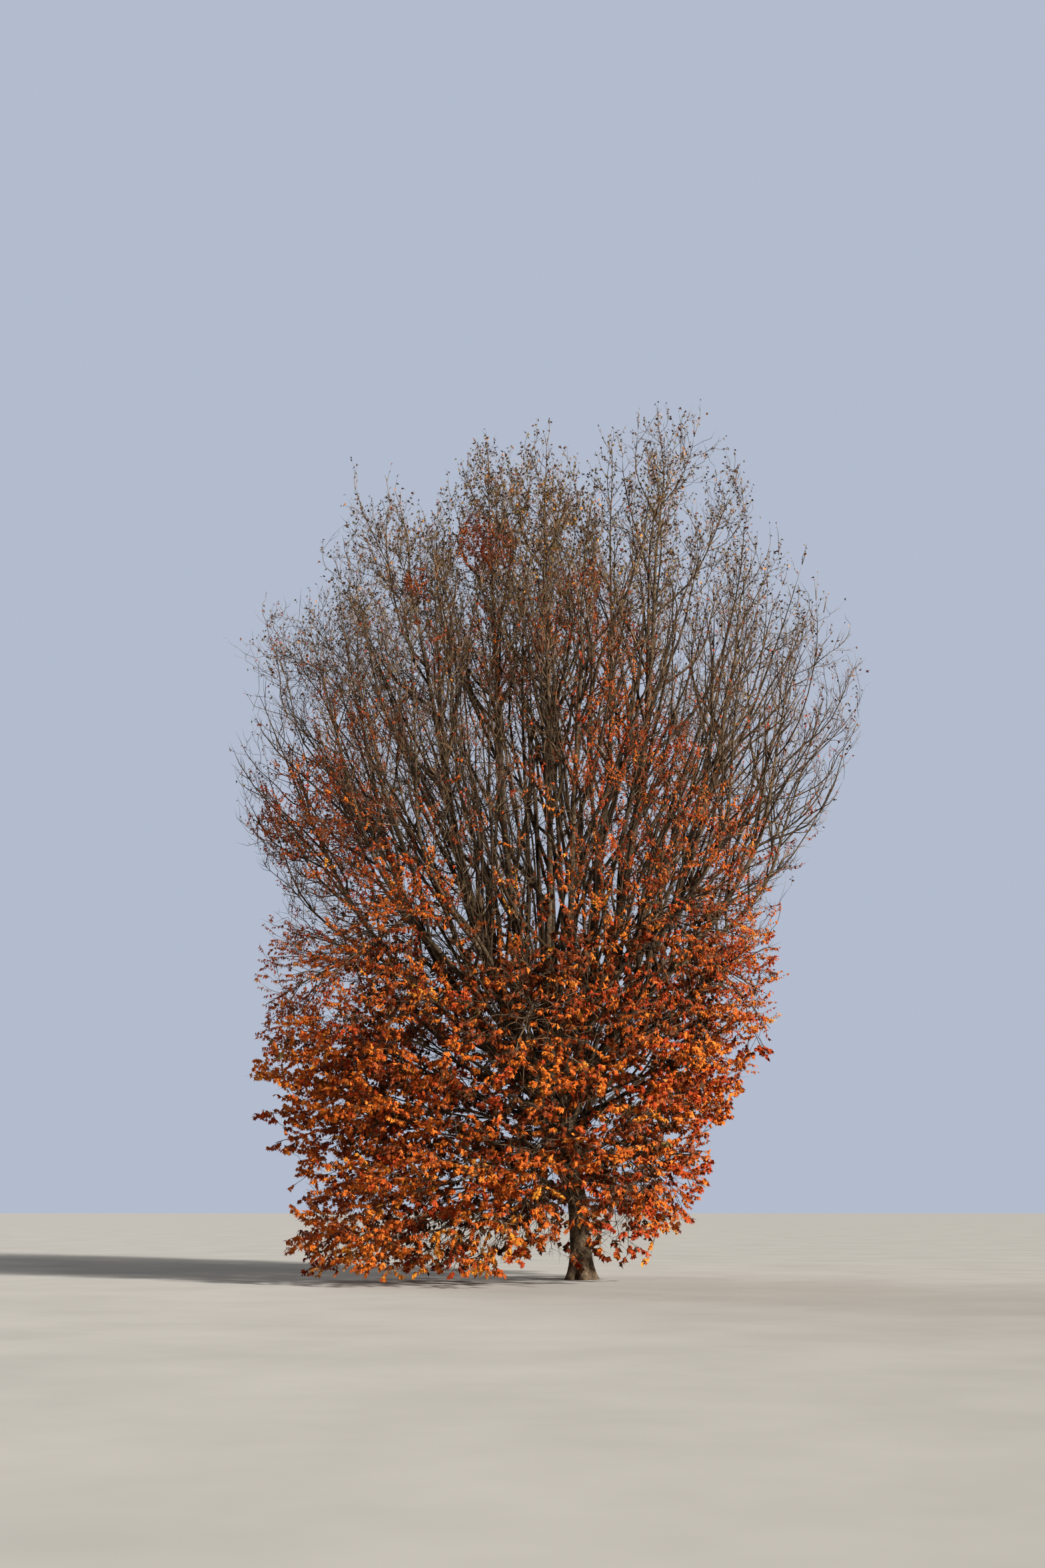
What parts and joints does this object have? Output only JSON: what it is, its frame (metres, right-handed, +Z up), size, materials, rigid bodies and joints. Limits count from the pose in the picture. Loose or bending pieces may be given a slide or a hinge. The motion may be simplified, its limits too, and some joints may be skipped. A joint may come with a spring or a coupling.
{
  "type": "maple tree",
  "caption": "Broad autumn maple with a short trunk, a steep fan of boughs, leafy lower masses and bare twiggy plumes at the top.",
  "frame": {"origin": "middle of the flat cut under the trunk, at ground level", "axes": "+Z up; -Y is the side the tree is seen from, +X is to the right as seen from there"},
  "size_m": [14.0965, 11.4768, 20.1954],
  "materials": {
    "bark": "rough fissured bark",
    "twigs": "bare twigs with a few dry leaves",
    "leaves": "matt autumn leaves"
  },
  "bodies": {
    "root": {"trunk": "bark", "mass_top_far_left": "twigs", "mass_top_left": "twigs", "mass_top_middle": "twigs", "mass_top_right": "twigs", "mass_top_crest": "twigs", "mass_top_far_right": "twigs", "mass_top_back": "twigs", "mass_upper_left_back": "twigs", "mass_upper_left": "twigs", "mass_upper_far_left": "twigs", "mass_upper_front_left": "twigs", "mass_upper_front": "twigs", "mass_upper_front_right": "twigs", "mass_upper_right": "twigs", "mass_upper_far_right": "twigs", "mass_upper_back_right": "twigs", "mass_upper_back_left": "twigs", "mass_middle_left": "leaves", "mass_middle_front_left": "leaves", "mass_middle_front": "leaves", "mass_middle_front_right": "leaves", "mass_middle_right": "leaves", "mass_middle_back_right": "leaves", "mass_middle_back_left": "leaves", "mass_skirt_left": "leaves", "mass_skirt_front_left": "leaves", "mass_skirt_front": "leaves", "mass_skirt_front_right": "leaves", "mass_skirt_back": "leaves", "bough_top_left": "bark", "bough_top_crest": "bark", "bough_top_far_left": "bark", "bough_upper_left_back": "bark", "bough_top_far_right": "bark", "bough_upper_front": "bark", "bough_top_back": "bark", "bough_top_middle": "bark", "bough_top_right": "bark", "bough_upper_left": "bark", "bough_upper_far_left": "bark", "bough_upper_front_left": "bark", "bough_upper_front_right": "bark", "bough_upper_right": "bark", "bough_upper_far_right": "bark", "bough_upper_back_right": "bark", "bough_upper_back_left": "bark", "bough_middle_left": "bark", "bough_middle_front_left": "bark", "bough_middle_front": "bark", "bough_middle_front_right": "bark", "bough_middle_right": "bark", "bough_middle_back_right": "bark", "bough_middle_back_left": "bark", "bough_skirt_left": "bark", "bough_skirt_front_left": "bark", "bough_skirt_front": "bark", "bough_skirt_front_right": "bark", "bough_skirt_back": "bark"}
  },
  "joints": []
}
